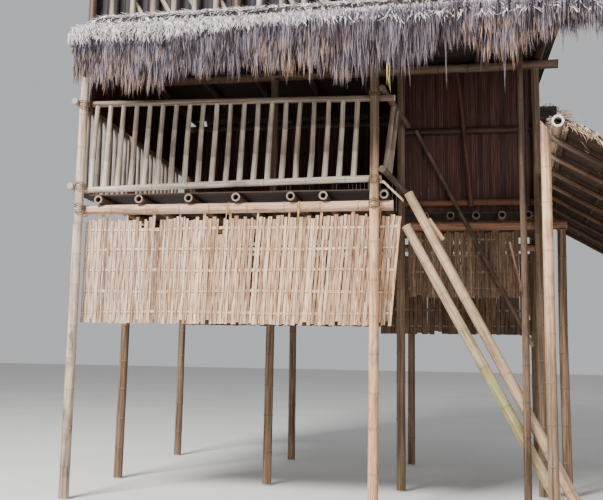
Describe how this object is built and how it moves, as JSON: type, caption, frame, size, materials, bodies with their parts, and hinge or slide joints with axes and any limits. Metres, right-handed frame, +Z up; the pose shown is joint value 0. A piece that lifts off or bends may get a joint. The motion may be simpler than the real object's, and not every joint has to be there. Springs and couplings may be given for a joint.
{
  "type": "bamboo stilt house",
  "caption": "Bamboo stilt house: open ground level, railed balcony floor with hanging split bamboo screens, thatched pent roofs, a loft under a thatched gable, and a thatched side lean-to.",
  "frame": {"origin": "foot of the front left corner post, on the ground", "axes": "X right along the front, Y back into the house, Z up"},
  "size_m": [7.8676, 5.8535, 9.2259],
  "materials": {
    "post_bamboo": "weathered round bamboo, grey tan with darker joints",
    "beam_bamboo": "weathered round bamboo, pinkish tan",
    "rail_bamboo": "dry round bamboo, grey cream",
    "prop_bamboo": "newer round bamboo, tan with green yellow parts",
    "roof_bamboo": "smoke darkened bamboo",
    "split_floor": "split bamboo floor slats, worn",
    "wall_mat": "woven split bamboo mat, dark reddish brown",
    "loft_mat": "woven split bamboo mat, very dark",
    "screen_slats": "split bamboo slats, pale straw, uneven",
    "thatch": "dry grass thatch, grey brown, pale on top"
  },
  "bodies": {
    "root": {"back_floor_beam": "beam_bamboo", "back_pent_thatch": "thatch", "back_posts": "post_bamboo", "back_screen": "screen_slats", "back_wall": "wall_mat", "diagonal_props": "prop_bamboo", "first_floor_deck": "split_floor", "floor_joists": "beam_bamboo", "front_balusters": "rail_bamboo", "front_bottom_rail": "beam_bamboo", "front_floor_beam": "beam_bamboo", "front_left_post": "post_bamboo", "front_middle_post": "post_bamboo", "front_pent_thatch": "thatch", "front_right_post": "post_bamboo", "front_screen": "screen_slats", "front_top_rail": "beam_bamboo", "gable_mats": "loft_mat", "lean_to_front_post": "post_bamboo", "lean_to_low_posts": "post_bamboo", "lean_to_poles": "roof_bamboo", "lean_to_rafters": "roof_bamboo", "lean_to_thatch": "thatch", "left_railing": "rail_bamboo", "loft_floor": "split_floor", "loft_front_poles": "rail_bamboo", "loft_front_wall": "loft_mat", "loft_joists": "beam_bamboo", "loft_mat_walls": "loft_mat", "loft_posts": "post_bamboo", "middle_floor_beam": "beam_bamboo", "middle_posts": "post_bamboo", "middle_screen": "screen_slats", "pent_rafters": "roof_bamboo", "recessed_wall": "wall_mat", "recessed_wall_frame": "beam_bamboo", "return_railing": "rail_bamboo", "ridge_cap": "thatch", "ridge_pole": "beam_bamboo", "roof_plates": "beam_bamboo", "side_walls": "wall_mat", "thin_brace": "prop_bamboo", "top_back_thatch": "thatch", "top_front_thatch": "thatch", "top_rafters": "roof_bamboo"}
  },
  "joints": []
}
